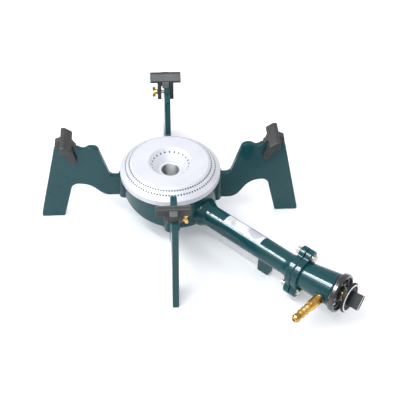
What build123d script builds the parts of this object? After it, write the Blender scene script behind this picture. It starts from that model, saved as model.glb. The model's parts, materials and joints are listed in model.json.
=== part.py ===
from build123d import *
import os
from math import cos, radians, sin, tan

os.makedirs("parts", exist_ok=True)

# A cast-iron propane burner stand: a round burner bowl on four plate legs, a mixing tube that
# ends in a bolted barrel with the hose barb, the air shutter and the tap knob, and four pot
# supports clamped on the leg tops. Millimetres. The origin is on the burner's axis at floor
# level, +Z is up and the mixing tube points to -Y.

# ---------------------------------------------------------------- driving dimensions
LEG_THICKNESS = 9.0
LEG_AZIMUTHS = {"front_right": -45, "rear_right": 45, "rear_left": 135, "front_left": 225}
FOOT_OUTER_R = 198.0          # foot's outer corner from the burner axis
FOOT_INNER_R = 163.0
LEG_TOP_R = 169.0             # outer corner of the leg's top
LEG_TOP_Z = 134.0
INNER_TOP_R = 106.5           # inner end of the inner plateau
WEB_TOP_Z = 77.5              # where the leg joins the bowl
WEB_BOTTOM_Z = {"front": 30.0, "rear": 41.0}
ROOT_FLARE = 7.0              # cast radius where a leg runs into the bowl

BOWL_R = 70.5
BOWL_TOP_Z = 79.0
BOWL_WALL = 6.5
FLOOR_Z = 38.5                # outside of the bowl's floor, on the axis
FLOOR_SLOPE = 0.235           # the floor drops towards the mixing tube
BOSS_R = 20.0
BOSS_BOTTOM_Z = 31.0

CAP_R = 75.0
CAP_BOTTOM_Z = 80.0
CAP_RIM_Z = 88.5
CAP_TOP_Z = 101.5
CAP_SHOULDER_R = 57.0
CRATER_R = 32.5
CRATER_Z = 86.0
CAP_WALL = 5.0
AIR_HOLE_R = 13.3
SHANK_R = AIR_HOLE_R + 2.3    # outside of the centre tube
SHANK_FLANGE_R = AIR_HOLE_R + 4.2
CENTRE_NUT_Z = 24.0
CENTRE_NUT_R = 22.0           # over the corners
PORT_ROWS = ((67.0, 96, 1.0), (61.3, 96, 1.0), (27.5, 24, 0.95))   # radius, count, port radius

TUBE_Z = 43.0                 # height of the mixing tube's axis
TUBE_R = 16.4
TUBE_BORE_R = 12.0
TUBE_BORE_START = 50.0        # the bore opens into the bowl here
TUBE_ROOT = 84.0              # distances along the tube are measured from the burner axis
FLANGE_START = 237.5
FLANGE_T = 9.0
FLANGE_R = 24.5
GASKET_T = 1.2
EAR_DISTANCE = 26.9
EAR_WIDTH = 20.0
EAR_TILT = 32.0               # the ears lean this far from upright, the upper one to +X
TUBE_FOOT = (178.0, 198.0)
TUBE_FOOT_T = 10.0
LABEL_SPAN = (112.0, 181.0)
LABEL_HALF_ANGLE = 32.0
LABEL_T = 0.3

BOLT_R = 3.0
BOLT_HOLE_R = 3.3
HEX_HALF = 5.0                # half the width over the flats of bolt heads and nuts
HEAD_T = 4.0
NUT_T = 5.0
WASHER_R = 5.6
WASHER_T = 1.2

BARREL_START = FLANGE_START + FLANGE_T + GASKET_T
BARREL_LEAN = 4.5             # past its flange the barrel leans this far off the tube's axis
LEAN_TOWARDS = 38.6           # the side it leans to, as an angle from +X towards +Z
LEAN_AT = 256.0               # where the barrel's axis crosses the tube's
BARREL_END = 307.7
BARREL_R = 19.3               # the barrel widens evenly from here to its mouth
BARREL_MOUTH_R = 24.8
BARREL_BORE_R = 13.0
BARREL_MOUTH_BORE_R = 19.5
HUB_R = 10.0                  # hub in the barrel's middle that holds the tap
HUB_START = 282.0
WEB_T = 6.0                   # webs between the hub and the barrel's wall
WINDOW_R = (11.4, 19.2)       # air windows in the barrel's end wall
END_WALL_T = 3.0

TAP_R = 7.0
TAP_START = 270.0
TAP_END = 319.9
TAP_GROOVE = (318.5, 319.6)   # groove for the shutter's clip
TAP_GROOVE_R = 6.2
PLUG_R = 4.5
PLUG_SPAN = (287.0, 303.0)
PLUG_PORT_R = 1.8
SPINDLE_R = 3.0
SPINDLE_END = 339.0
GLAND_AT = 308.0
GLAND_HEAD_T = 4.8
INJECTOR_SPAN = (262.0, 274.0)
INJECTOR_R = 3.0
JET_R = 0.6

BARB_AT = 299.0
BARB_DROP = 3.0               # degrees below level
BARB_SWING = 8.0              # degrees back towards the bowl
BARB_BOSS_R = 8.5
BARB_BOSS_END = 25.2
BARB_THREAD_R = 4.8
BARB_THREAD_START = TAP_R + 0.8
BARB_BORE_R = 2.5
BARB_COLLAR = (26.2, 44.0)
BARB_COLLAR_R = 7.2
BARB_NECK_R = 5.1
BARB_CRESTS = (47.5, 54.5, 61.5)
BARB_CREST_R = 6.3
BARB_LAND = 1.0               # cylindrical stretch of each crest
BARB_BALL_AT = 72.0
BARB_BALL_R = 6.25
BARB_WASHER_R = 7.3

SHUTTER_R = 28.8
SHUTTER_START = BARREL_END + 1.3
SHUTTER_DEPTH = 9.0
SPOKE_WIDTH = 11.0            # of the air windows, in the barrel and in the shutter
SHUTTER_WINDOW_R = (11.6, 22.0)
SHUTTER_END = SHUTTER_START + SHUTTER_DEPTH
KNOB_START = 326.0
KNOB_R = 22.0
KNOB_DISC_T = 4.0
KNOB_BAR_T = 9.0
KNOB_BAR_START = KNOB_START + KNOB_DISC_T
KNOB_BAR_END = 346.5
KNOB_BAR_HALF = (10.3, 11.2)  # half the grip bar's span, at the disc and at its outer end
KNOB_TILT = 50.0              # the grip bar leans this far from upright at rest
KNOB_SCREW_AT = KNOB_BAR_START + 5
KNOB_SCREW_R = 1.6
KNOB_RING_R = (18.2, 20.6)

SUPPORT_TOP_Z = 150.0
SUPPORT_OUTER_R = 159.0
SUPPORT_LENGTH = 48.0
SUPPORT_SEAT_GAP = 0.15
SUPPORT_INSET = {"front_left": 5.0}       # this one is set further in than the others
SCREW_SIDE = {"rear_left": -1}            # this one carries its screw on the other cheek
SCREW_RADIAL = 146.0
SCREW_Z = 121.0
SCREW_R = 2.5
CHEEK_GAP = (-4.8, 8.3)       # the slot's walls, measured from the leg's middle plane
OTHER_GAPS = {"front_left": (-8.3, 4.8)}
CHEEK_T = 6.0
CHEEK_BOTTOM_Z = 109.5
CROSSBAR_BOTTOM_Z = 137.0
SADDLE_T = 11.0
SCREW_TIP_GAP = 0.15          # between a screw's tip and the leg's face
WING_HALF = 8.8

RUN_FIT = 0.1                 # radial clearance of turned fits
PLUG_FIT = 0.05               # radial clearance of the tap's ground fits


# ---------------------------------------------------------------- planes and helpers
def radial_plane(azimuth):
    """Upright plane through the burner axis: x is outwards, y is up."""
    a = radians(azimuth)
    return Plane(origin=(0, 0, 0), x_dir=(cos(a), sin(a), 0), z_dir=(sin(a), -cos(a), 0))


def tube_plane(distance):
    """Plane square to the mixing tube: x is +X, y is up, its normal points away from the bowl."""
    return Plane(origin=(0, -distance, TUBE_Z), x_dir=(1, 0, 0), z_dir=(0, -1, 0))


TUBE_SECTION = Plane(origin=(0, 0, TUBE_Z), x_dir=(0, -1, 0), z_dir=(-1, 0, 0))
TUBE_AXIS = Axis((0, 0, TUBE_Z), (0, -1, 0))
EAR_SPOTS = [
    (side * EAR_DISTANCE * sin(radians(EAR_TILT)), side * EAR_DISTANCE * cos(radians(EAR_TILT)))
    for side in (1, -1)
]


LEAN_SIDE = Vector(cos(radians(LEAN_TOWARDS)), 0, sin(radians(LEAN_TOWARDS)))
BARREL_DIR = Vector(0, -cos(radians(BARREL_LEAN)), 0) + LEAN_SIDE * sin(radians(BARREL_LEAN))
BARREL_RIGHT = Vector(0, 0, 1).cross(BARREL_DIR).normalized()
BARREL_UP = BARREL_DIR.cross(BARREL_RIGHT)


def barrel_point(distance):
    """Point on the barrel's axis."""
    return Vector(0, -LEAN_AT, TUBE_Z) + BARREL_DIR * (distance - LEAN_AT)


def barrel_plane(distance):
    """Plane square to the barrel: x is level, its normal points away from the bowl."""
    return Plane(origin=barrel_point(distance), x_dir=BARREL_RIGHT, z_dir=BARREL_DIR)


BARREL_SECTION = Plane(origin=barrel_point(0), x_dir=BARREL_DIR, z_dir=-BARREL_RIGHT)
BARREL_AXIS = Axis(barrel_point(0), BARREL_DIR)


def save(part, name):
    part.label = name
    export_step(part, f"parts/{name}.step")


def turned_on_barrel(points):
    """Turn a closed (distance, radius) outline about the barrel's axis."""
    with BuildPart() as turned:
        with BuildSketch(BARREL_SECTION):
            with BuildLine():
                Polyline(*points, close=True)
            make_face()
        revolve(axis=BARREL_AXIS)
    return turned.part


# ---------------------------------------------------------------- burner bowl
def drum(radius, floor_lift):
    """The bowl's drum with its sloping floor, solid."""
    reach = radius + 5
    floor = FLOOR_Z + floor_lift
    with BuildPart() as solid:
        with BuildSketch(Plane.XY):
            Circle(radius)
        extrude(amount=BOWL_TOP_Z)
        with BuildSketch(Plane.YZ):
            with BuildLine():
                Polyline(
                    (-reach, floor - FLOOR_SLOPE * reach),
                    (reach, floor + FLOOR_SLOPE * reach),
                    (reach, BOWL_TOP_Z),
                    (-reach, BOWL_TOP_Z),
                    close=True,
                )
            make_face()
        extrude(amount=reach, both=True, mode=Mode.INTERSECT)
        fillet(solid.edges().sort_by(Axis.Z)[0], radius=7)
    return solid.part


bowl_outside = drum(BOWL_R, 0)
bowl_inside = drum(BOWL_R - BOWL_WALL, BOWL_WALL)

with BuildPart() as burner_bowl:
    add(bowl_outside)
    add(bowl_inside, mode=Mode.SUBTRACT)
    with BuildSketch(Plane.XY.offset(BOSS_BOTTOM_Z)):
        Circle(BOSS_R)
    extrude(amount=BOWL_TOP_Z - 1 - BOSS_BOTTOM_Z)
    with BuildSketch(Plane.XY.offset(BOSS_BOTTOM_Z)):
        Circle(SHANK_R)
    extrude(amount=BOWL_TOP_Z, mode=Mode.SUBTRACT)
    with BuildSketch(tube_plane(TUBE_BORE_START)):
        Circle(TUBE_BORE_R)
    extrude(amount=BOWL_R, mode=Mode.SUBTRACT)
save(burner_bowl.part, "burner_bowl")


# ---------------------------------------------------------------- legs
def plate_offset(shape, azimuth):
    """Distance of a shape's centre from the middle plane of the leg."""
    a = radians(azimuth)
    return shape.center().X * sin(a) - shape.center().Y * cos(a)


def axis_distance(shape):
    """Distance of a shape's centre from the burner axis."""
    return Vector(shape.center().X, shape.center().Y, 0).length


def leg_plate(azimuth, web_bottom):
    """A flat cast leg: foot, arch, two plateaus on top and the web that runs into the bowl."""
    outline = [
        (FOOT_OUTER_R, 0, 2.5),
        (FOOT_OUTER_R - 1, 8, 30),
        (LEG_TOP_R, LEG_TOP_Z, 4),
        (135, LEG_TOP_Z, 8),
        (127, LEG_TOP_Z - 5.4, 7),
        (119, LEG_TOP_Z, 6),
        (INNER_TOP_R, LEG_TOP_Z, 9),
        (89.5, WEB_TOP_Z, 8),
        (60, WEB_TOP_Z, 1),
        (60, web_bottom, 1),
        (99, web_bottom, 20),
        (121, 63, 30),
        (146.5, 66, 11),
        (FOOT_INNER_R, 0, 2.5),
    ]
    half = LEG_THICKNESS / 2
    flare = BOWL_R + ROOT_FLARE
    with BuildPart() as leg:
        with BuildSketch(radial_plane(azimuth)):
            with BuildLine():
                corners = [(r, z) for r, z, _ in outline]
                FilletPolyline(*corners, radius=[radius for _, _, radius in outline], close=True)
            make_face()
        extrude(amount=half, both=True)
        rims = leg.edges().filter_by(lambda e: abs(abs(plate_offset(e, azimuth)) - half) < 0.01)
        rims = rims.filter_by(lambda e: e.length > 3 and axis_distance(e) > BOWL_R + 12)
        chamfer(rims, length=0.7)
        with BuildSketch(Plane.XY.offset(web_bottom)):
            with BuildLine(Location((0, 0, 0), (0, 0, azimuth))):
                Polyline(
                    (60, half + ROOT_FLARE + 4), (60, -half - ROOT_FLARE - 4),
                    (BOWL_R - 1, -half - ROOT_FLARE),
                )
                RadiusArc((BOWL_R - 1, -half - ROOT_FLARE), (flare, -half), -ROOT_FLARE - 0.6)
                Line((flare, -half), (flare, half))
                RadiusArc((flare, half), (BOWL_R - 1, half + ROOT_FLARE), -ROOT_FLARE - 0.6)
                Line((BOWL_R - 1, half + ROOT_FLARE), (60, half + ROOT_FLARE + 4))
            make_face()
        extrude(amount=WEB_TOP_Z - web_bottom)
        add(bowl_outside, mode=Mode.SUBTRACT)
    return leg.part


for place, azimuth in LEG_AZIMUTHS.items():
    end = place.split("_")[0]
    save(leg_plate(azimuth, WEB_BOTTOM_Z[end]), f"leg_{place}")


# ---------------------------------------------------------------- cap and centre tube
with BuildPart() as burner_cap:
    with BuildSketch(Plane.XZ):
        with BuildLine():
            FilletPolyline(
                (SHANK_R, BOWL_TOP_Z - 1),
                (SHANK_R, CRATER_Z - 2),
                (SHANK_FLANGE_R, CRATER_Z - 2),
                (SHANK_FLANGE_R, CRATER_Z + 0.4),
                (CRATER_R, CAP_TOP_Z),
                (CAP_SHOULDER_R, CAP_TOP_Z),
                (CAP_R, CAP_RIM_Z),
                (CAP_R, CAP_BOTTOM_Z),
                (CAP_R - 10, CAP_BOTTOM_Z),
                (CAP_R - 10, CAP_BOTTOM_Z + CAP_WALL),
                (CAP_SHOULDER_R - 2, CAP_TOP_Z - CAP_WALL),
                (CRATER_R + 2, CAP_TOP_Z - CAP_WALL),
                (BOSS_R + 1, CRATER_Z - 2),
                (BOSS_R - 0.5, BOWL_TOP_Z - 1),
                radius=[0, 0, 0, 0, 1.5, 2.5, 1.5, 0.8, 0, 1, 2, 2, 1, 0],
                close=True,
            )
        make_face()
    revolve(axis=Axis.Z)
    for row_r, count, port_r in PORT_ROWS:
        with BuildSketch(Plane.XY.offset(CAP_BOTTOM_Z)):
            with PolarLocations(row_r, count):
                Circle(port_r)
        extrude(amount=CAP_TOP_Z - CAP_BOTTOM_Z + 1, mode=Mode.SUBTRACT)
save(burner_cap.part, "burner_cap")

with BuildPart() as cap_gasket:
    with BuildSketch(Plane.XY.offset(BOWL_TOP_Z)):
        Circle(BOWL_R - 0.5)
        Circle(BOWL_R - 5.3, mode=Mode.SUBTRACT)
    extrude(amount=CAP_BOTTOM_Z - BOWL_TOP_Z)
save(cap_gasket.part, "cap_gasket")

with BuildPart() as centre_tube:
    with BuildSketch(Plane.XZ):
        with BuildLine():
            Polyline(
                (AIR_HOLE_R, CENTRE_NUT_Z - 1),
                (SHANK_R, CENTRE_NUT_Z - 1),
                (SHANK_R, CRATER_Z - 2),
                (SHANK_FLANGE_R, CRATER_Z - 2),
                (SHANK_FLANGE_R, CRATER_Z + 0.2),
                (AIR_HOLE_R + 0.8, CRATER_Z - 0.2),
                (AIR_HOLE_R, CRATER_Z - 1),
                close=True,
            )
        make_face()
    revolve(axis=Axis.Z)
save(centre_tube.part, "centre_tube")

with BuildPart() as centre_nut:
    with BuildSketch(Plane.XY.offset(CENTRE_NUT_Z)):
        RegularPolygon(radius=CENTRE_NUT_R, side_count=6)
        Circle(SHANK_R, mode=Mode.SUBTRACT)
    extrude(amount=BOSS_BOTTOM_Z - CENTRE_NUT_Z)
    chamfer(centre_nut.edges().filter_by(GeomType.CIRCLE).group_by(Axis.Z)[0], length=0.8)
save(centre_nut.part, "centre_nut")


# ---------------------------------------------------------------- mixing tube and flange joint
def flange(distance):
    """Oval flange with two ears, drawn on the plane square to the tube."""
    with BuildPart() as plate:
        with BuildSketch(tube_plane(distance)) as oval:
            Circle(FLANGE_R)
            SlotCenterToCenter(2 * EAR_DISTANCE, EAR_WIDTH, rotation=90 - EAR_TILT)
            necks = oval.vertices().group_by(lambda v: round(Vector(v.X, v.Y).length, 1))[0]
            fillet(necks, radius=4)
        extrude(amount=FLANGE_T)
        chamfer(plate.faces().sort_by(Axis.Y)[0].edges(), length=0.8)
        chamfer(plate.faces().sort_by(Axis.Y)[-1].edges(), length=0.8)
        with BuildSketch(tube_plane(distance)):
            with Locations(*EAR_SPOTS):
                Circle(BOLT_HOLE_R)
        extrude(amount=FLANGE_T, mode=Mode.SUBTRACT)
    return plate.part


tube_flange = flange(FLANGE_START)
barrel_flange = flange(BARREL_START)

with BuildPart() as mixing_tube:
    with BuildSketch(TUBE_SECTION):
        with BuildLine():
            FilletPolyline(
                (60, 0), (60, 24), (72, 22), (TUBE_ROOT - 1, TUBE_R),
                (FLANGE_START - 11, TUBE_R), (FLANGE_START - 4, TUBE_R + 1.5),
                (FLANGE_START + 2, 21.5), (FLANGE_START + 2, 0),
                radius=[0, 0, 3, 12, 8, 5, 0, 0], close=True,
            )
        make_face()
    revolve(axis=TUBE_AXIS)
    add(tube_flange)
    with BuildSketch(Plane.YZ):
        with BuildLine():
            FilletPolyline(
                (-TUBE_FOOT[0], TUBE_Z), (-TUBE_FOOT[0], 0),
                (-TUBE_FOOT[1], 0), (-TUBE_FOOT[1], TUBE_Z),
                radius=[0, 2.5, 5, 0], close=True,
            )
        make_face()
    extrude(amount=TUBE_FOOT_T / 2, both=True)
    with BuildSketch(tube_plane(TUBE_BORE_START)):
        Circle(TUBE_BORE_R)
    extrude(amount=FLANGE_START + FLANGE_T, mode=Mode.SUBTRACT)
    add(bowl_outside, mode=Mode.SUBTRACT)
save(mixing_tube.part, "mixing_tube")

with BuildPart() as flange_gasket:
    with BuildSketch(tube_plane(FLANGE_START + FLANGE_T)):
        Circle(FLANGE_R - 1.5)
        Circle(BARREL_BORE_R, mode=Mode.SUBTRACT)
    extrude(amount=GASKET_T)
save(flange_gasket.part, "flange_gasket")

BOLT_HEAD_AT = BARREL_START + FLANGE_T + WASHER_T
NUT_AT = FLANGE_START - WASHER_T - NUT_T
with BuildPart() as flange_bolts:
    with BuildSketch(tube_plane(BOLT_HEAD_AT)):
        with Locations(*EAR_SPOTS):
            RegularPolygon(radius=HEX_HALF, side_count=6, major_radius=False)
    extrude(amount=HEAD_T)
    with BuildSketch(tube_plane(NUT_AT - BOLT_R)):
        with Locations(*EAR_SPOTS):
            Circle(BOLT_R)
    extrude(amount=BOLT_HEAD_AT - NUT_AT + BOLT_R)
save(flange_bolts.part, "flange_bolts")

with BuildPart() as flange_nuts:
    with BuildSketch(tube_plane(NUT_AT)):
        with Locations(*EAR_SPOTS):
            RegularPolygon(radius=HEX_HALF, side_count=6, major_radius=False)
            Circle(BOLT_R, mode=Mode.SUBTRACT)
    extrude(amount=NUT_T)
save(flange_nuts.part, "flange_nuts")

with BuildPart() as flange_washers:
    for washer_at in (FLANGE_START - WASHER_T, BARREL_START + FLANGE_T):
        with BuildSketch(tube_plane(washer_at)):
            with Locations(*EAR_SPOTS):
                Circle(WASHER_R)
                Circle(BOLT_R + 0.2, mode=Mode.SUBTRACT)
        extrude(amount=WASHER_T)
save(flange_washers.part, "flange_washers")

with BuildPart() as tube_label:
    with BuildSketch(tube_plane(LABEL_SPAN[0])):
        Circle(TUBE_R + LABEL_T)
        Circle(TUBE_R, mode=Mode.SUBTRACT)
        with BuildLine():
            side = 30 * tan(radians(LABEL_HALF_ANGLE))
            Polyline((0, 0), (side, 30), (-side, 30), close=True)
        make_face(mode=Mode.INTERSECT)
    extrude(amount=LABEL_SPAN[1] - LABEL_SPAN[0])
save(tube_label.part, "tube_label")


# ---------------------------------------------------------------- barrel, barb and tap
BARB_OUT = BARREL_RIGHT * -cos(radians(BARB_DROP)) - BARREL_UP * sin(radians(BARB_DROP))
BARB_DIR = BARB_OUT * cos(radians(BARB_SWING)) - BARREL_DIR * sin(radians(BARB_SWING))
BARB_SIDE = BARREL_DIR * cos(radians(BARB_SWING)) + BARB_OUT * sin(radians(BARB_SWING))
BARB_ORIGIN = barrel_point(BARB_AT)
BARB_SECTION = Plane(origin=BARB_ORIGIN, x_dir=BARB_DIR, z_dir=-BARB_SIDE)
BARB_AXIS = Axis(BARB_ORIGIN, BARB_DIR)


def barb_plane(distance):
    """Plane square to the hose barb, a distance out from the barrel's axis."""
    return Plane(origin=BARB_ORIGIN + BARB_DIR * distance, x_dir=BARB_SIDE, z_dir=BARB_DIR)


def air_windows(inner_r, outer_r):
    """Four air windows between two radii, parted by wide spokes."""
    with BuildSketch() as windows:
        Circle(outer_r)
        Circle(inner_r, mode=Mode.SUBTRACT)
        with Locations(Rotation(0, 0, BARB_DROP)):
            Rectangle(2 * outer_r, SPOKE_WIDTH, mode=Mode.SUBTRACT)
            Rectangle(SPOKE_WIDTH, 2 * outer_r, mode=Mode.SUBTRACT)
    return windows.sketch


with BuildPart() as mixer_barrel:
    with BuildSketch(BARREL_SECTION):
        with BuildLine():
            FilletPolyline(
                (BARREL_START + 4, BARREL_BORE_R), (BARREL_START + 4, BARREL_R),
                (BARREL_END - 3, BARREL_MOUTH_R - 0.3), (BARREL_END, BARREL_MOUTH_R),
                (BARREL_END, BARREL_MOUTH_BORE_R), (277, BARREL_MOUTH_BORE_R - 1),
                (266, BARREL_BORE_R),
                radius=[0, 0, 3, 1, 0, 6, 6], close=True,
            )
        make_face()
    revolve(axis=BARREL_AXIS)
    add(barrel_flange)
    with BuildSketch(tube_plane(BARREL_START)):
        Circle(BARREL_BORE_R + 1)
    extrude(amount=FLANGE_T, mode=Mode.SUBTRACT)
    with BuildSketch(barrel_plane(BARREL_END - END_WALL_T)):
        Circle(BARREL_MOUTH_BORE_R + 0.5)
        add(air_windows(*WINDOW_R), mode=Mode.SUBTRACT)
    extrude(amount=END_WALL_T)
    with BuildSketch(barrel_plane(HUB_START)):
        Circle(HUB_R)
        with Locations(Rotation(0, 0, BARB_DROP)):
            Rectangle(2 * BARREL_MOUTH_R, WEB_T)
            Rectangle(WEB_T, 2 * BARREL_MOUTH_R)
        Circle(BARREL_MOUTH_BORE_R + 1, mode=Mode.INTERSECT)
    extrude(amount=BARREL_END - HUB_START)
    with BuildSketch(barb_plane(TAP_R + 1)):
        Circle(BARB_BOSS_R)
    extrude(amount=BARB_BOSS_END - TAP_R - 1)
    with BuildSketch(barrel_plane(HUB_START)):
        Circle(TAP_R)
    extrude(amount=BARREL_END - HUB_START, mode=Mode.SUBTRACT)
    with BuildSketch(barb_plane(0)):
        Circle(BARB_THREAD_R)
    extrude(amount=BARB_COLLAR[0], mode=Mode.SUBTRACT)
save(mixer_barrel.part, "mixer_barrel")

ridges = []
for crest in BARB_CRESTS:
    ridges += [
        (crest - 0.6, BARB_NECK_R), (crest, BARB_CREST_R), (crest + BARB_LAND, BARB_CREST_R),
        (crest + 4.6, BARB_NECK_R + 0.3),
    ]
with BuildPart() as hose_barb:
    with BuildSketch(BARB_SECTION):
        with BuildLine():
            Polyline(
                (BARB_THREAD_START, BARB_BORE_R), (BARB_THREAD_START, BARB_THREAD_R),
                (BARB_COLLAR[0], BARB_THREAD_R),
                (BARB_COLLAR[0], BARB_COLLAR_R), (BARB_COLLAR[1], BARB_COLLAR_R),
                (BARB_COLLAR[1] + 1, BARB_NECK_R), *ridges,
                (BARB_BALL_AT - 3.6, BARB_NECK_R), (BARB_BALL_AT - 3.6, BARB_BORE_R), close=True,
            )
        make_face()
    revolve(axis=BARB_AXIS)
    with BuildSketch(BARB_SECTION):
        with Locations((BARB_BALL_AT, 0)):
            Circle(BARB_BALL_R)
        with Locations((BARB_BALL_AT, -BARB_BALL_R)):
            Rectangle(3 * BARB_BALL_R, 2 * BARB_BALL_R, mode=Mode.SUBTRACT)
        with Locations((BARB_BALL_AT, 0)):
            Rectangle(3 * BARB_BALL_R, 2 * BARB_BORE_R, mode=Mode.SUBTRACT)
    revolve(axis=BARB_AXIS)
save(hose_barb.part, "hose_barb")

with BuildPart() as barb_washer:
    with BuildSketch(barb_plane(BARB_BOSS_END)):
        Circle(BARB_WASHER_R)
        Circle(BARB_THREAD_R, mode=Mode.SUBTRACT)
    extrude(amount=BARB_COLLAR[0] - BARB_BOSS_END)
save(barb_washer.part, "barb_washer")

tap_turning = turned_on_barrel([
    (TAP_START, 2), (TAP_START, 5.2), (TAP_START + 7, TAP_R), (TAP_GROOVE[0], TAP_R),
    (TAP_GROOVE[0], TAP_GROOVE_R), (TAP_GROOVE[1], TAP_GROOVE_R), (TAP_GROOVE[1], TAP_R),
    (TAP_END, TAP_R), (TAP_END, PLUG_R + PLUG_FIT), (PLUG_SPAN[0], PLUG_R + PLUG_FIT),
    (PLUG_SPAN[0], 2),
])
with BuildPart() as tap_body:
    add(tap_turning)
    with BuildSketch(barb_plane(2)):
        Circle(BARB_BORE_R)
    extrude(amount=TAP_R, mode=Mode.SUBTRACT)
    with BuildSketch(barrel_plane(TAP_START)):
        Circle(INJECTOR_R)
    extrude(amount=INJECTOR_SPAN[1] - TAP_START, mode=Mode.SUBTRACT)
save(tap_body.part, "tap_body")

with BuildPart() as injector:
    with BuildSketch(barrel_plane(TAP_START - 4)):
        RegularPolygon(radius=INJECTOR_R + 1.5, side_count=6, major_radius=False)
    extrude(amount=4)
    with BuildSketch(barrel_plane(INJECTOR_SPAN[0])):
        Circle(INJECTOR_R)
    extrude(amount=INJECTOR_SPAN[1] - INJECTOR_SPAN[0])
    with BuildSketch(barrel_plane(INJECTOR_SPAN[0])):
        Circle(JET_R)
    extrude(amount=INJECTOR_SPAN[1] - INJECTOR_SPAN[0], mode=Mode.SUBTRACT)
save(injector.part, "injector")

plug_turning = turned_on_barrel([
    (PLUG_SPAN[0] + 0.1, 0), (PLUG_SPAN[0] + 0.1, PLUG_R), (PLUG_SPAN[1], PLUG_R),
    (PLUG_SPAN[1], SPINDLE_R), (SPINDLE_END, SPINDLE_R), (SPINDLE_END, 0),
])
with BuildPart() as tap_plug:
    add(plug_turning)
    with BuildSketch(barrel_plane(PLUG_SPAN[0])):
        Circle(PLUG_PORT_R)
    extrude(amount=BARB_AT - PLUG_SPAN[0], mode=Mode.SUBTRACT)
    with BuildSketch(barb_plane(0)):
        Circle(PLUG_PORT_R)
    extrude(amount=PLUG_R + 1, mode=Mode.SUBTRACT)
save(tap_plug.part, "tap_plug")

spring_cones = []
for cone_at in (PLUG_SPAN[1] + 0.3, PLUG_SPAN[1] + 2.0):
    spring_cones.append(turned_on_barrel([
        (cone_at, SPINDLE_R + 0.3), (cone_at + 0.5, SPINDLE_R + 0.3),
        (cone_at + 1.3, PLUG_R - 0.2), (cone_at + 0.8, PLUG_R - 0.2),
    ]))
with BuildPart() as tap_spring:
    add(spring_cones)
save(tap_spring.part, "tap_spring")

with BuildPart() as gland_nut:
    with BuildSketch(barrel_plane(GLAND_AT)):
        Circle(PLUG_R + PLUG_FIT)
    extrude(amount=TAP_END - GLAND_AT)
    with BuildSketch(barrel_plane(TAP_END)):
        RegularPolygon(radius=6, side_count=6, major_radius=False)
    extrude(amount=GLAND_HEAD_T)
    with BuildSketch(barrel_plane(GLAND_AT)):
        Circle(SPINDLE_R + PLUG_FIT)
    extrude(amount=TAP_END + GLAND_HEAD_T - GLAND_AT, mode=Mode.SUBTRACT)
save(gland_nut.part, "gland_nut")


# ---------------------------------------------------------------- air shutter and knob
shutter_spring = turned_on_barrel([
    (BARREL_END, HUB_R - 0.5), (BARREL_END + 0.5, HUB_R - 0.5), (SHUTTER_START - 0.1, TAP_R + 0.3),
    (SHUTTER_START - 0.6, TAP_R + 0.3),
])
save(shutter_spring, "shutter_spring")

with BuildPart() as air_shutter:
    with BuildSketch(BARREL_SECTION):
        with BuildLine():
            FilletPolyline(
                (SHUTTER_START, 24.3), (SHUTTER_START, SHUTTER_R - 1),
                (SHUTTER_START + 2.5, SHUTTER_R), (SHUTTER_END - 2, SHUTTER_R),
                (SHUTTER_END, SHUTTER_R - 1.5), (SHUTTER_END, 25),
                (SHUTTER_START + 4, 24), (SHUTTER_START + 4, 11), (SHUTTER_END - 0.2, 10.2),
                (SHUTTER_END - 0.2, TAP_R + RUN_FIT), (SHUTTER_START, TAP_R + RUN_FIT),
                (SHUTTER_START, 10.5), (SHUTTER_START + 1, 12), (SHUTTER_START + 1, 23.5),
                radius=[0, 0.5, 1, 1, 0.8, 0.8, 1.5, 1.5, 0.5, 0, 0, 0.3, 0.5, 0.5], close=True,
            )
        make_face()
    revolve(axis=BARREL_AXIS)
    with BuildSketch(barrel_plane(SHUTTER_START)):
        add(air_windows(*SHUTTER_WINDOW_R))
    extrude(amount=SHUTTER_DEPTH, mode=Mode.SUBTRACT)
save(air_shutter.part, "air_shutter")

with BuildPart() as shutter_clip:
    with BuildSketch(barrel_plane(TAP_GROOVE[0] + 0.05)):
        Circle(TAP_R + 2)
        Circle(TAP_GROOVE_R + 0.05, mode=Mode.SUBTRACT)
        with Locations((0, -TAP_R - 1)):
            Rectangle(3, TAP_R + 1, mode=Mode.SUBTRACT)
    extrude(amount=TAP_GROOVE[1] - TAP_GROOVE[0] - 0.1)
save(shutter_clip.part, "shutter_clip")

BAR_FRAME = Plane(
    origin=barrel_point(0),
    x_dir=BARREL_DIR,
    z_dir=BARREL_UP * sin(radians(KNOB_TILT)) - BARREL_RIGHT * cos(radians(KNOB_TILT)),
)
BAR_SCREW = Plane(
    origin=barrel_point(KNOB_SCREW_AT),
    x_dir=BARREL_DIR,
    z_dir=BARREL_RIGHT * sin(radians(KNOB_TILT)) + BARREL_UP * cos(radians(KNOB_TILT)),
)
with BuildPart() as knob:
    with BuildSketch(BAR_FRAME):
        with BuildLine():
            FilletPolyline(
                (KNOB_BAR_START - 1, KNOB_BAR_HALF[0]), (KNOB_BAR_END, KNOB_BAR_HALF[1]),
                (KNOB_BAR_END, -KNOB_BAR_HALF[1]), (KNOB_BAR_START - 1, -KNOB_BAR_HALF[0]),
                radius=[0, 1.5, 1.5, 0], close=True,
            )
        make_face()
    extrude(amount=KNOB_BAR_T / 2, both=True)
    chamfer(knob.faces().sort_by(Axis.Y)[0].edges(), length=0.6)
    with BuildSketch(barrel_plane(KNOB_START)):
        Circle(KNOB_R)
    extrude(amount=KNOB_DISC_T)
    chamfer(knob.edges().filter_by(GeomType.CIRCLE).sort_by(SortBy.RADIUS)[-2:], length=0.8)
    with BuildSketch(barrel_plane(KNOB_START)):
        Circle(SPINDLE_R)
    extrude(amount=SPINDLE_END - KNOB_START, mode=Mode.SUBTRACT)
    with BuildSketch(BAR_SCREW):
        Circle(KNOB_SCREW_R)
    extrude(amount=KNOB_R, mode=Mode.SUBTRACT)
save(knob.part, "knob")

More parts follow.
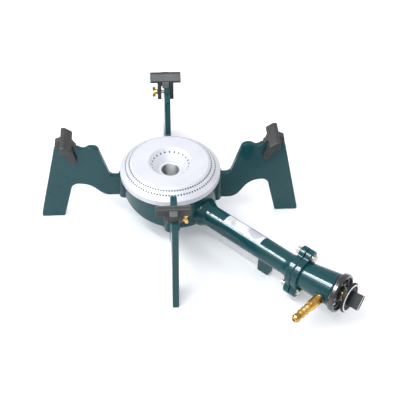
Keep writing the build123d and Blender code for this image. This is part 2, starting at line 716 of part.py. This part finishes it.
with BuildPart() as knob_screw:
    with BuildSketch(BAR_SCREW.offset(SPINDLE_R)):
        Circle(KNOB_SCREW_R)
    extrude(amount=6)
    with BuildSketch(BAR_SCREW.offset(SPINDLE_R + 4)):
        RegularPolygon(radius=0.9, side_count=6)
    extrude(amount=3, mode=Mode.SUBTRACT)
save(knob_screw.part, "knob_screw")

with BuildPart() as knob_ring:
    with BuildSketch(barrel_plane(KNOB_BAR_START)):
        Circle(KNOB_RING_R[1])
        Circle(KNOB_RING_R[0], mode=Mode.SUBTRACT)
    extrude(amount=0.6)
save(knob_ring.part, "knob_ring")


# ---------------------------------------------------------------- pot supports and their screws
def sideways(azimuth, side, low, high):
    """Plane and length for a slab of a support between two distances from the leg's middle."""
    start = -high if side > 0 else low
    return radial_plane(azimuth).offset(start), high - low


def pot_support(azimuth, inset, side, gap):
    """Crossbar with a sloping inner face, a saddle on the leg's top and two cheeks beside it."""
    seat = LEG_TOP_Z + SUPPORT_SEAT_GAP
    top = SUPPORT_TOP_Z
    outer = SUPPORT_OUTER_R - inset
    tight, loose = gap
    middle = (tight + loose) / 2
    crossbar = [
        (outer, top, 1.5), (outer - 6, top, 2), (outer - 15.5, top - 6.7, 1.5),
        (outer - 16.5, top - 10, 1.5), (outer - 11, CROSSBAR_BOTTOM_Z, 2),
        (outer, CROSSBAR_BOTTOM_Z, 1.5),
    ]
    saddle = [
        (outer - 22, seat, 0), (outer - 17, top - 9, 2), (outer - 10, top - 5, 1),
        (outer - 1, top - 1.5, 1.5), (outer + 8, top - 5.5, 2.5), (outer + 8.5, seat, 0),
    ]
    cheek = [
        (outer - 16.5, seat + 3, 0), (outer - 18.5, CHEEK_BOTTOM_Z + 17.5, 6),
        (outer - 23, CHEEK_BOTTOM_Z + 2.5, 3.5), (outer - 14.5, CHEEK_BOTTOM_Z, 3.5),
        (outer - 6, CHEEK_BOTTOM_Z + 14.5, 8), (outer - 1, seat + 3, 0),
    ]
    bridge = [
        (outer - 16.5, seat), (outer - 14, seat + 4), (outer - 1.5, seat + 4), (outer - 1.5, seat),
    ]
    half = SUPPORT_LENGTH / 2
    with BuildPart() as support:
        plane, length = sideways(azimuth, side, middle - half, middle + half)
        with BuildSketch(plane):
            with BuildLine():
                FilletPolyline(*[p[:2] for p in crossbar], radius=[p[2] for p in crossbar], close=True)
            make_face()
        extrude(amount=length)
        ends = support.faces().filter_by(GeomType.PLANE).filter_by(
            lambda f: abs(abs(f.normal_at().dot(plane.z_dir)) - 1) < 1e-4)
        chamfer(ends.edges(), length=0.8)
        plane, length = sideways(azimuth, side, middle - SADDLE_T / 2, middle + SADDLE_T / 2)
        with BuildSketch(plane):
            with BuildLine():
                FilletPolyline(*[p[:2] for p in saddle], radius=[p[2] for p in saddle], close=True)
            make_face()
        extrude(amount=length)
        plane, length = sideways(azimuth, side, tight - CHEEK_T, loose + CHEEK_T)
        with BuildSketch(plane):
            with BuildLine():
                Polyline(*bridge, close=True)
            make_face()
        extrude(amount=length)
        for low in (tight - CHEEK_T, loose):
            plane, length = sideways(azimuth, side, low, low + CHEEK_T)
            with BuildSketch(plane):
                with BuildLine():
                    FilletPolyline(*[p[:2] for p in cheek], radius=[p[2] for p in cheek], close=True)
                make_face()
            extrude(amount=length)
        with BuildSketch(screw_plane(azimuth, inset, side, loose - 1)):
            Circle(SCREW_R + RUN_FIT)
        extrude(amount=CHEEK_T + 2, mode=Mode.SUBTRACT)
    return support.part


def screw_plane(azimuth, inset, side, distance):
    """Plane square to a clamp screw, a distance out from the leg's middle plane."""
    a = radians(azimuth)
    out = Vector(cos(a), sin(a), 0) * (SCREW_RADIAL - inset)
    along = Vector(-sin(a), cos(a), 0) * side
    return Plane(origin=out + along * distance + Vector(0, 0, SCREW_Z), x_dir=(0, 0, 1), z_dir=along)


def clamp_screw(azimuth, inset, side, gap):
    """Brass wing screw: its tip meets the leg, its wings stand outside the cheek."""
    tip = LEG_THICKNESS / 2 + SCREW_TIP_GAP
    base = screw_plane(azimuth, inset, side, 0)
    section = Plane(origin=base.origin, x_dir=base.z_dir, z_dir=base.z_dir.cross(Vector(0, 0, 1)))
    collar = gap[1] + CHEEK_T + 0.3
    with BuildPart() as screw:
        with BuildSketch(section):
            with BuildLine():
                Polyline(
                    (tip, 0), (tip, SCREW_R - 0.7), (tip + 1, SCREW_R), (collar, SCREW_R),
                    (collar, 3.9), (collar + 1, 4.2), (collar + 4.2, 3.2), (collar + 5.4, 1.4),
                    (collar + 5.4, 0), close=True,
                )
            make_face()
        revolve(axis=Axis(section.origin, section.x_dir))
        with BuildSketch(section):
            with BuildLine():
                FilletPolyline(
                    (collar + 1.2, 0), (collar + 2.2, 4), (collar + 4, WING_HALF),
                    (collar + 8.4, WING_HALF), (collar + 7.2, 4.2), (collar + 4.4, 0),
                    (collar + 7.2, -4.2), (collar + 8.4, -WING_HALF), (collar + 4, -WING_HALF),
                    (collar + 2.2, -4),
                    radius=[0, 2, 1.8, 1.6, 3, 2, 3, 1.6, 1.8, 2], close=True,
                )
            make_face()
        extrude(amount=1.4, both=True)
    return screw.part


for place, azimuth in LEG_AZIMUTHS.items():
    inset = SUPPORT_INSET.get(place, 0.0)
    side = SCREW_SIDE.get(place, 1)
    gap = OTHER_GAPS.get(place, CHEEK_GAP)
    save(pot_support(azimuth, inset, side, gap), f"support_{place}")
    save(clamp_screw(azimuth, inset, side, gap), f"clamp_screw_{place}")
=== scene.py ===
import json
from math import cos, pi, radians, sin

import bpy
from mathutils import Matrix, Vector


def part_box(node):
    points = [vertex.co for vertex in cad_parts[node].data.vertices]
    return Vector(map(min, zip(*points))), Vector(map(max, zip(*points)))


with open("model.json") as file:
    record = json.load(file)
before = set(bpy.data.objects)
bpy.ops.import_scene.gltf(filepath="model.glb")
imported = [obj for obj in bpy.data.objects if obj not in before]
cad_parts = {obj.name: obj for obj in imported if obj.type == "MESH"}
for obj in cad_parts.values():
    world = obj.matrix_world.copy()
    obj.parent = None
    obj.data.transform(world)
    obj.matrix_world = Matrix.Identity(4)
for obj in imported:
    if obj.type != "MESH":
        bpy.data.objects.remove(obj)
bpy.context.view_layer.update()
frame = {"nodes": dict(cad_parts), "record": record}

NODES = frame["nodes"]
SCENE = bpy.context.scene
SCENE.view_settings.view_transform = "Standard"
SCENE.view_settings.look = "None"

# Sizes shared with the CAD model, in metres.
TUBE_Z = 0.043                # height of the mixing tube's axis
CAP_PORTS = (                 # radius of the row, count, radius of a port
    (0.0670, 96, 0.0010),
    (0.0613, 96, 0.0010),
    (0.0275, 24, 0.00095),
)
AIR_HOLE_R = 0.0133
# direction of the bore's painted light: the bore is painted lighter on this side, standing in for
# how light falls into it
BORE_PAINTED_LIGHT_SIDE = (cos(0.66), sin(0.66), 0)
AIR_HOLE_RIM_Z = 0.0851       # the centre tube's pale rim lies above this height
BARREL_LEAN = radians(4.5)    # off the mixing tube's axis
LEAN_TOWARDS = radians(38.6)  # from +X towards +Z
LEAN_AT = 0.256               # distance along the tube where the barrel's axis leaves it
KNOB_TILT = radians(50.0)     # of the grip bar, from upright
KNOB_BAR_END = 0.3465
KNOB_BAR_HALF = 0.0112
KNOB_BAR_T = 0.009
KNOB_EDGE = 0.0019            # width of the white edge on the grip bar's end
LABEL_EDGE = 0.0011           # width of the label's coloured border
FLOOR_HALF = 4.0

LEAN_SIDE = Vector((cos(LEAN_TOWARDS), 0, sin(LEAN_TOWARDS)))
BARREL_DIR = Vector((0, -cos(BARREL_LEAN), 0)) + LEAN_SIDE * sin(BARREL_LEAN)
BARREL_RIGHT = Vector((0, 0, 1)).cross(BARREL_DIR).normalized()
BARREL_UP = BARREL_DIR.cross(BARREL_RIGHT)
BARREL_PIVOT = Vector((0, -LEAN_AT, TUBE_Z))


# ---------------------------------------------------------------- camera
CAMERA_AZIMUTH = -49.70
CAMERA_ELEVATION = 43.47
CAMERA_ROLL = 1.59
CAMERA_DISTANCE = 1.443
CAMERA_AIM = (0.04615, 0.01615)   # how far right and up of the burner's foot the camera aims
CAMERA_LENS = 83.18


def make_camera():
    az, el, roll = radians(CAMERA_AZIMUTH), radians(CAMERA_ELEVATION), radians(CAMERA_ROLL)
    back = Vector((sin(az) * cos(el), -cos(az) * cos(el), sin(el)))
    level = Vector((cos(az), sin(az), 0))
    up = back.cross(level)
    right = level * cos(roll) + up * sin(roll)
    up = up * cos(roll) - level * sin(roll)
    data = bpy.data.cameras.new("camera")
    data.sensor_width = 36.0
    data.lens = CAMERA_LENS
    data.clip_start = 0.05
    data.clip_end = 50.0
    camera = bpy.data.objects.new("camera", data)
    place = right * CAMERA_AIM[0] + up * CAMERA_AIM[1] + back * CAMERA_DISTANCE
    turn = Matrix((right, up, back)).transposed().to_4x4()
    camera.matrix_world = Matrix.Translation(place) @ turn
    SCENE.collection.objects.link(camera)
    SCENE.camera = camera


make_camera()


# ---------------------------------------------------------------- light
def area_light(name, place, aim, size, power):
    data = bpy.data.lights.new(name, "AREA")
    data.shape = "RECTANGLE"
    data.size, data.size_y = size
    data.energy = power
    light = bpy.data.objects.new(name, data)
    place, aim = Vector(place), Vector(aim)
    light.location = place
    light.rotation_mode = "QUATERNION"
    light.rotation_quaternion = (aim - place).to_track_quat("-Z", "Y")
    SCENE.collection.objects.link(light)
    return light


def strip_light(name, angle, width, power, reach=1.5, length=1.5, centre_y=0.36):
    """A softbox that runs along the mixing tube, at an angle from overhead towards -X."""
    a = radians(angle)
    light = area_light(
        name, (-reach * sin(a), centre_y, reach * cos(a) + TUBE_Z), (0, centre_y, TUBE_Z),
        (width, length), power)
    normal = Vector((-sin(a), 0, cos(a)))
    along = Vector((0, 1, 0))
    light.rotation_quaternion = Matrix(
        (along.cross(normal), along, normal)).transposed().to_quaternion()
    return light


WINDOWS = (("window_bright", 23.0, 0.06, 8.5), ("window_soft", 44.0, 0.60, 6.5))
SHEENS = (("sheen_line", 22.0, 0.05, 34.0), ("sheen_band", 33.0, 0.34, 50.0))
SHEEN_COLOUR = (0.80, 0.95, 1.0)
FILLS = (
    ("overhead", (0.3, 0.1, 2.2), 10.0),
    ("fill", (1.5, 0.6, 1.6), 12.0),
    ("left_fill", (-1.3, -1.2, 1.6), 8.0),
)
FILL_SIZE = (2.2, 2.2)
FILL_AIM = (0.1, -0.1, 0)

for name, angle, width, power in WINDOWS:
    strip_light(name, angle, width, power)
for name, angle, width, power in SHEENS:       # seen only as highlights on glossy surfaces
    sheen = strip_light(name, angle, width, power)
    sheen.data.color = SHEEN_COLOUR
    sheen.visible_diffuse = False
for name, place, power in FILLS:               # light surfaces without showing in their gloss
    fill = area_light(name, place, FILL_AIM, FILL_SIZE, power)
    fill.visible_glossy = False

world = bpy.data.worlds.new("studio")
world.use_nodes = True
background = world.node_tree.nodes["Background"]
background.inputs["Color"].default_value = (0.94, 0.95, 1.0, 1)
background.inputs["Strength"].default_value = 0.67
SCENE.world = world


# ---------------------------------------------------------------- material helpers
class Paint:
    """A node material with the few procedural pieces used here."""

    def __init__(self, name, colour, metallic=0.0, roughness=0.5):
        self.material = bpy.data.materials.new(name)
        self.material.use_nodes = True
        self.tree = self.material.node_tree
        self.shader = self.tree.nodes["Principled BSDF"]
        self.shader.inputs["Base Color"].default_value = (*colour, 1)
        self.shader.inputs["Metallic"].default_value = metallic
        self.shader.inputs["Roughness"].default_value = roughness
        self.coords = self.node("ShaderNodeTexCoord").outputs["Object"]
        self.bump_out = None

    def node(self, kind, **settings):
        made = self.tree.nodes.new(kind)
        for key, value in settings.items():
            setattr(made, key, value)
        return made

    def link(self, a, b):
        self.tree.links.new(a, b)

    def set(self, **values):
        for key, value in values.items():
            self.shader.inputs[key.replace("_", " ")].default_value = value

    def noise(self, scale, detail=3.0, rough=0.5, stretch=(1, 1, 1)):
        place = self.node("ShaderNodeMapping")
        place.inputs["Scale"].default_value = stretch
        self.link(self.coords, place.inputs["Vector"])
        tex = self.node("ShaderNodeTexNoise")
        tex.inputs["Scale"].default_value = scale
        tex.inputs["Detail"].default_value = detail
        tex.inputs["Roughness"].default_value = rough
        self.link(place.outputs["Vector"], tex.inputs["Vector"])
        return tex.outputs["Fac"]

    def ramp(self, value, stops):
        """Map a 0 to 1 value through (position, colour) stops."""
        ramp = self.node("ShaderNodeValToRGB")
        points = ramp.color_ramp.elements
        while len(points) < len(stops):
            points.new(0.5)
        for point, (position, colour) in zip(points, stops):
            point.position = position
            point.color = (*colour, 1)
        self.link(value, ramp.inputs["Fac"])
        return ramp.outputs["Color"]

    def span(self, value, low, high, from_low=0.0, from_high=1.0):
        step = self.node("ShaderNodeMapRange")
        step.inputs["From Min"].default_value = from_low
        step.inputs["From Max"].default_value = from_high
        step.inputs["To Min"].default_value = low
        step.inputs["To Max"].default_value = high
        self.link(value, step.inputs["Value"])
        return step.outputs["Result"]

    def math(self, operation, a, b=0.0):
        step = self.node("ShaderNodeMath", operation=operation)
        for socket, value in zip(step.inputs, (a, b)):
            if isinstance(value, (int, float)):
                socket.default_value = value
            else:
                self.link(value, socket)
        return step.outputs["Value"]

    def hypot(self, a, b):
        squares = self.math("ADD", self.math("MULTIPLY", a, a), self.math("MULTIPLY", b, b))
        return self.math("SQRT", squares)

    def mix(self, amount, a, b):
        step = self.node("ShaderNodeMix", data_type="RGBA")
        for name, value in (("Factor", amount), ("A", a), ("B", b)):
            socket = [s for s in step.inputs if s.name == name and s.enabled][0]
            if isinstance(value, (int, float)):
                socket.default_value = value
            elif isinstance(value, tuple):
                socket.default_value = (*value, 1)
            else:
                self.link(value, socket)
        return [s for s in step.outputs if s.enabled][0]

    def colour(self, source):
        self.link(source, self.shader.inputs["Base Color"])

    def rough(self, source):
        self.link(source, self.shader.inputs["Roughness"])

    def bump(self, height, distance, strength=1.0):
        """Add a layer of relief; distance is its height in metres."""
        step = self.node("ShaderNodeBump")
        step.inputs["Strength"].default_value = strength
        step.inputs["Distance"].default_value = distance
        self.link(height, step.inputs["Height"])
        if self.bump_out:
            self.link(self.bump_out, step.inputs["Normal"])
        self.bump_out = step.outputs["Normal"]
        self.link(self.bump_out, self.shader.inputs["Normal"])

    def soften(self, radius=0.0006):
        """Round the look of sharp edges under the relief."""
        bevel = self.node("ShaderNodeBevel", samples=4)
        bevel.inputs["Radius"].default_value = radius
        self.bump_out = bevel.outputs["Normal"]
        self.link(self.bump_out, self.shader.inputs["Normal"])

    def along(self, origin, direction):
        """Distance of a surface point from an origin, measured along a direction."""
        step = self.node("ShaderNodeVectorMath", operation="SUBTRACT")
        step.inputs[1].default_value = origin
        self.link(self.coords, step.inputs[0])
        dot = self.node("ShaderNodeVectorMath", operation="DOT_PRODUCT")
        dot.inputs[1].default_value = direction
        self.link(step.outputs["Vector"], dot.inputs[0])
        return dot.outputs["Value"]

    def split(self):
        step = self.node("ShaderNodeSeparateXYZ")
        self.link(self.coords, step.inputs["Vector"])
        return step.outputs["X"], step.outputs["Y"], step.outputs["Z"]


# ---------------------------------------------------------------- materials
def green_enamel():
    m = Paint("green_enamel", (0.012, 0.070, 0.080), roughness=0.3)
    broad = m.noise(14.0, 2.0, 0.5)
    speck = m.noise(420.0, 2.0, 0.6)
    tint = m.ramp(broad, [(0.3, (0.0040, 0.050, 0.058)), (0.7, (0.0058, 0.062, 0.072))])
    tint = m.mix(m.span(speck, 0.0, 0.2, 0.62, 0.80), tint, (0.013, 0.082, 0.092))
    m.colour(tint)
    m.rough(m.span(m.noise(60.0, 3.0), 0.26, 0.40, 0.3, 0.7))
    m.soften(0.0009)
    m.bump(m.noise(130.0, 2.0, 0.5), 0.00042, 0.6)
    m.bump(m.noise(520.0, 2.0, 0.5), 0.00004, 0.5)
    m.set(Coat_Weight=0.52, Coat_Roughness=0.04, Coat_IOR=1.5, Specular_IOR_Level=0.08)
    return m.material


def port_painted_shade(m, x, y, radius):
    """Painted shade for the cap's ports: 1 in and close round each port, 0 elsewhere."""
    angle = m.math("ARCTAN2", y, x)
    mask = None
    for row_r, count, port_r in CAP_PORTS:
        turn = m.math("MULTIPLY", angle, count / (2 * pi))
        off = m.math("SUBTRACT", turn, m.math("ROUND", turn))
        around = m.math("MULTIPLY", off, 2 * pi * row_r / count)
        across = m.math("SUBTRACT", radius, row_r)
        reach = m.hypot(around, across)
        spot = m.span(reach, 1.0, 0.0, port_r * 1.05, port_r * 1.25)
        mask = spot if mask is None else m.math("MAXIMUM", mask, spot)
    return mask


def cap_aluminium():
    m = Paint("cap_aluminium", (0.78, 0.78, 0.80), metallic=0.08, roughness=0.5)
    m.set(Specular_IOR_Level=0.25)
    x, y, _ = m.split()
    radius = m.hypot(x, y)
    rings = m.math("SINE", m.math("MULTIPLY", radius, 9000.0))
    wander = m.noise(35.0, 3.0)
    tint = m.ramp(wander, [(0.35, (0.585, 0.590, 0.636)), (0.65, (0.625, 0.630, 0.676))])
    # painted shade: each port's opening is coloured near black, standing in for the shade inside
    # the hole
    m.colour(m.mix(port_painted_shade(m, x, y, radius), tint, (0.035, 0.035, 0.037)))
    m.rough(m.span(m.noise(240.0, 3.0), 0.44, 0.56, 0.3, 0.7))
    m.soften(0.0005)
    m.bump(rings, 0.00001, 0.35)
    m.bump(m.noise(600.0, 3.0), 0.00003, 0.5)
    return m.material


def grey_iron():
    m = Paint("grey_iron", (0.10, 0.095, 0.09), metallic=0.25, roughness=0.5)
    grain = m.noise(700.0, 4.0, 0.6)
    broad = m.noise(40.0, 3.0)
    tint = m.ramp(broad, [(0.3, (0.027, 0.026, 0.0255)), (0.7, (0.046, 0.044, 0.043))])
    m.colour(m.mix(m.span(grain, 0.0, 0.5, 0.5, 0.75), tint, (0.080, 0.077, 0.074)))
    m.rough(m.span(grain, 0.42, 0.62, 0.3, 0.7))
    m.soften(0.0007)
    m.bump(grain, 0.00010, 0.7)
    m.bump(m.noise(160.0, 3.0), 0.00018, 0.5)
    return m.material


def brass():
    m = Paint("brass", (0.78, 0.50, 0.17), metallic=1.0, roughness=0.25)
    cloud = m.noise(75.0, 3.0, 0.6)
    m.colour(m.ramp(cloud, [(0.35, (0.50, 0.265, 0.055)), (0.62, (0.74, 0.47, 0.14))]))
    m.rough(m.span(m.noise(300.0, 3.0), 0.18, 0.34, 0.3, 0.7))
    m.soften(0.0003)
    m.bump(m.noise(900.0, 2.0), 0.00002, 0.5)
    return m.material


def zinc_steel():
    m = Paint("zinc_steel", (0.66, 0.62, 0.52), metallic=1.0, roughness=0.3)
    cloud = m.noise(160.0, 4.0, 0.6)
    m.colour(m.ramp(cloud, [(0.3, (0.55, 0.50, 0.40)), (0.7, (0.76, 0.74, 0.68))]))
    m.rough(m.span(m.noise(380.0, 3.0), 0.22, 0.40, 0.3, 0.7))
    m.soften(0.0004)
    m.bump(m.noise(1100.0, 2.0), 0.00002, 0.5)
    return m.material


def steel_with_painted_bore_light():
    """The centre tube: a brushed bore with painted light and shade, lightest on its far side, under
    a pale rim.
    """
    m = Paint("steel_with_painted_bore_light", (0.85, 0.85, 0.86), metallic=0.15, roughness=0.3)
    _, _, z = m.split()
    far = m.math("DIVIDE", m.along((0, 0, 0), BORE_PAINTED_LIGHT_SIDE), AIR_HOLE_R)
    streaks = m.noise(190.0, 2.0, 0.5, (1, 1, 0.03))
    level = m.math("ADD", m.math("POWER", m.math("MAXIMUM", far, 0.0), 7.0),
                   m.span(streaks, -0.10, 0.10, 0.3, 0.7))
    # painted light and shade: the bore runs from dark to a painted white highlight on its lit side
    bore = m.ramp(level, [
        (0.0, (0.22, 0.22, 0.225)), (0.35, (0.58, 0.58, 0.59)), (0.75, (1.0, 1.0, 1.0))])
    rim = m.math("GREATER_THAN", z, AIR_HOLE_RIM_Z)
    m.colour(m.mix(rim, bore, (0.62, 0.623, 0.66)))
    m.rough(m.span(streaks, 0.28, 0.40, 0.3, 0.7))
    m.soften(0.0004)
    m.bump(streaks, 0.00001, 0.3)
    return m.material


def black_paint():
    m = Paint("black_paint", (0.010, 0.011, 0.013), roughness=0.3)
    tint = m.ramp(m.noise(80.0, 3.0), [(0.3, (0.007, 0.008, 0.009)), (0.7, (0.014, 0.015, 0.017))])
    m.colour(tint)
    m.rough(m.span(m.noise(240.0, 3.0), 0.22, 0.38, 0.3, 0.7))
    m.soften(0.0006)
    m.bump(m.noise(300.0, 3.0), 0.00004, 0.5)
    m.set(Coat_Weight=0.9, Coat_Roughness=0.09)
    return m.material


def knob_plastic():
    """Dark grip with a white edge round the outer end of its bar."""
    m = Paint("knob_plastic", (0.028, 0.029, 0.031), roughness=0.42)
    grain = m.noise(1400.0, 2.0, 0.5)
    span = BARREL_RIGHT * sin(KNOB_TILT) + BARREL_UP * cos(KNOB_TILT)
    thick = BARREL_DIR.cross(span)
    depth = m.along(BARREL_PIVOT, BARREL_DIR)
    on_end = m.math("GREATER_THAN", depth, KNOB_BAR_END - LEAN_AT - 0.0003)
    long_side = m.math("ABSOLUTE", m.along(BARREL_PIVOT, thick))
    short_side = m.math("ABSOLUTE", m.along(BARREL_PIVOT, span))
    border = m.math("MAXIMUM",
                    m.math("GREATER_THAN", long_side, KNOB_BAR_T / 2 - KNOB_EDGE),
                    m.math("GREATER_THAN", short_side, KNOB_BAR_HALF - KNOB_EDGE))
    mark = m.math("MULTIPLY", on_end, border)
    body = m.ramp(m.noise(70.0, 3.0), [(0.3, (0.015, 0.016, 0.018)), (0.7, (0.022, 0.023, 0.025))])
    m.colour(m.mix(mark, body, (0.74, 0.74, 0.73)))
    m.rough(m.span(grain, 0.42, 0.56, 0.3, 0.7))
    m.soften(0.0005)
    m.bump(grain, 0.00002, 0.6)
    m.set(Specular_IOR_Level=0.12)
    return m.material


def white_mark():
    m = Paint("white_mark", (0.80, 0.80, 0.79), roughness=0.45)
    m.colour(m.ramp(m.noise(500.0, 3.0), [(0.3, (0.72, 0.72, 0.71)), (0.6, (0.84, 0.84, 0.83))]))
    m.rough(m.span(m.noise(700.0, 2.0), 0.38, 0.55))
    m.bump(m.noise(1200.0, 2.0), 0.00002, 0.5)
    return m.material


def label_foil():
    """White foil with a thin blue border."""
    m = Paint("label_foil", (0.86, 0.86, 0.87), roughness=0.28)
    x, y, _ = m.split()
    low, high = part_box("tube_label")
    near_ends = m.math("MAXIMUM",
                       m.math("GREATER_THAN", y, high.y - LABEL_EDGE),
                       m.math("LESS_THAN", y, low.y + LABEL_EDGE))
    sides = m.math("MAXIMUM",
                   m.math("LESS_THAN", x, low.x + LABEL_EDGE * 0.9),
                   m.math("GREATER_THAN", x, high.x - LABEL_EDGE * 0.9))
    border = m.math("MAXIMUM", near_ends, sides)
    cloud = m.noise(42.0, 1.5, 0.5)
    field = m.ramp(cloud, [(0.38, (0.52, 0.52, 0.56)), (0.54, (0.92, 0.92, 0.93))])
    m.colour(m.mix(border, field, (0.055, 0.06, 0.32)))
    m.rough(m.span(m.noise(300.0, 2.0), 0.22, 0.36))
    m.bump(m.noise(220.0, 2.0), 0.00005, 0.4)
    return m.material


def gasket_sheet():
    m = Paint("gasket_sheet", (0.05, 0.05, 0.05), roughness=0.8)
    fibre = m.noise(900.0, 4.0, 0.7)
    m.colour(m.ramp(fibre, [(0.3, (0.030, 0.030, 0.031)), (0.7, (0.085, 0.083, 0.080))]))
    m.rough(m.span(fibre, 0.7, 0.9))
    m.bump(fibre, 0.00006, 0.8)
    return m.material


def floor_white():
    m = Paint("floor_white", (0.93, 0.93, 0.94), roughness=0.7)
    m.colour(m.ramp(m.noise(6.0, 2.0), [(0.4, (0.92, 0.925, 0.94)), (0.6, (0.93, 0.935, 0.95))]))
    m.bump(m.noise(900.0, 2.0), 0.00002, 0.3)
    m.set(Emission_Color=(0.90, 0.94, 1.0, 1), Emission_Strength=0.15)
    return m.material


MATERIALS = {
    "green": green_enamel(),
    "cap": cap_aluminium(),
    "grey_iron": grey_iron(),
    "zinc": zinc_steel(),
    "brass": brass(),
    "shutter_black": black_paint(),
    "knob_black": knob_plastic(),
    "ring_white": white_mark(),
    "label": label_foil(),
    "gasket": gasket_sheet(),
}


def dress(obj, material):
    obj.data.materials.clear()
    obj.data.materials.append(material)


for part in frame["record"]["subparts"]:
    dress(NODES[part["node"]], MATERIALS[part["material_slot"]])
dress(NODES["centre_tube"], steel_with_painted_bore_light())


# ---------------------------------------------------------------- floor
def make_floor():
    mesh = bpy.data.meshes.new("floor")
    corners = [(x * FLOOR_HALF, y * FLOOR_HALF, 0) for x, y in ((-1, -1), (1, -1), (1, 1), (-1, 1))]
    mesh.from_pydata(corners, [], [(0, 1, 2, 3)])
    floor = bpy.data.objects.new("floor", mesh)
    SCENE.collection.objects.link(floor)
    dress(floor, floor_white())


make_floor()
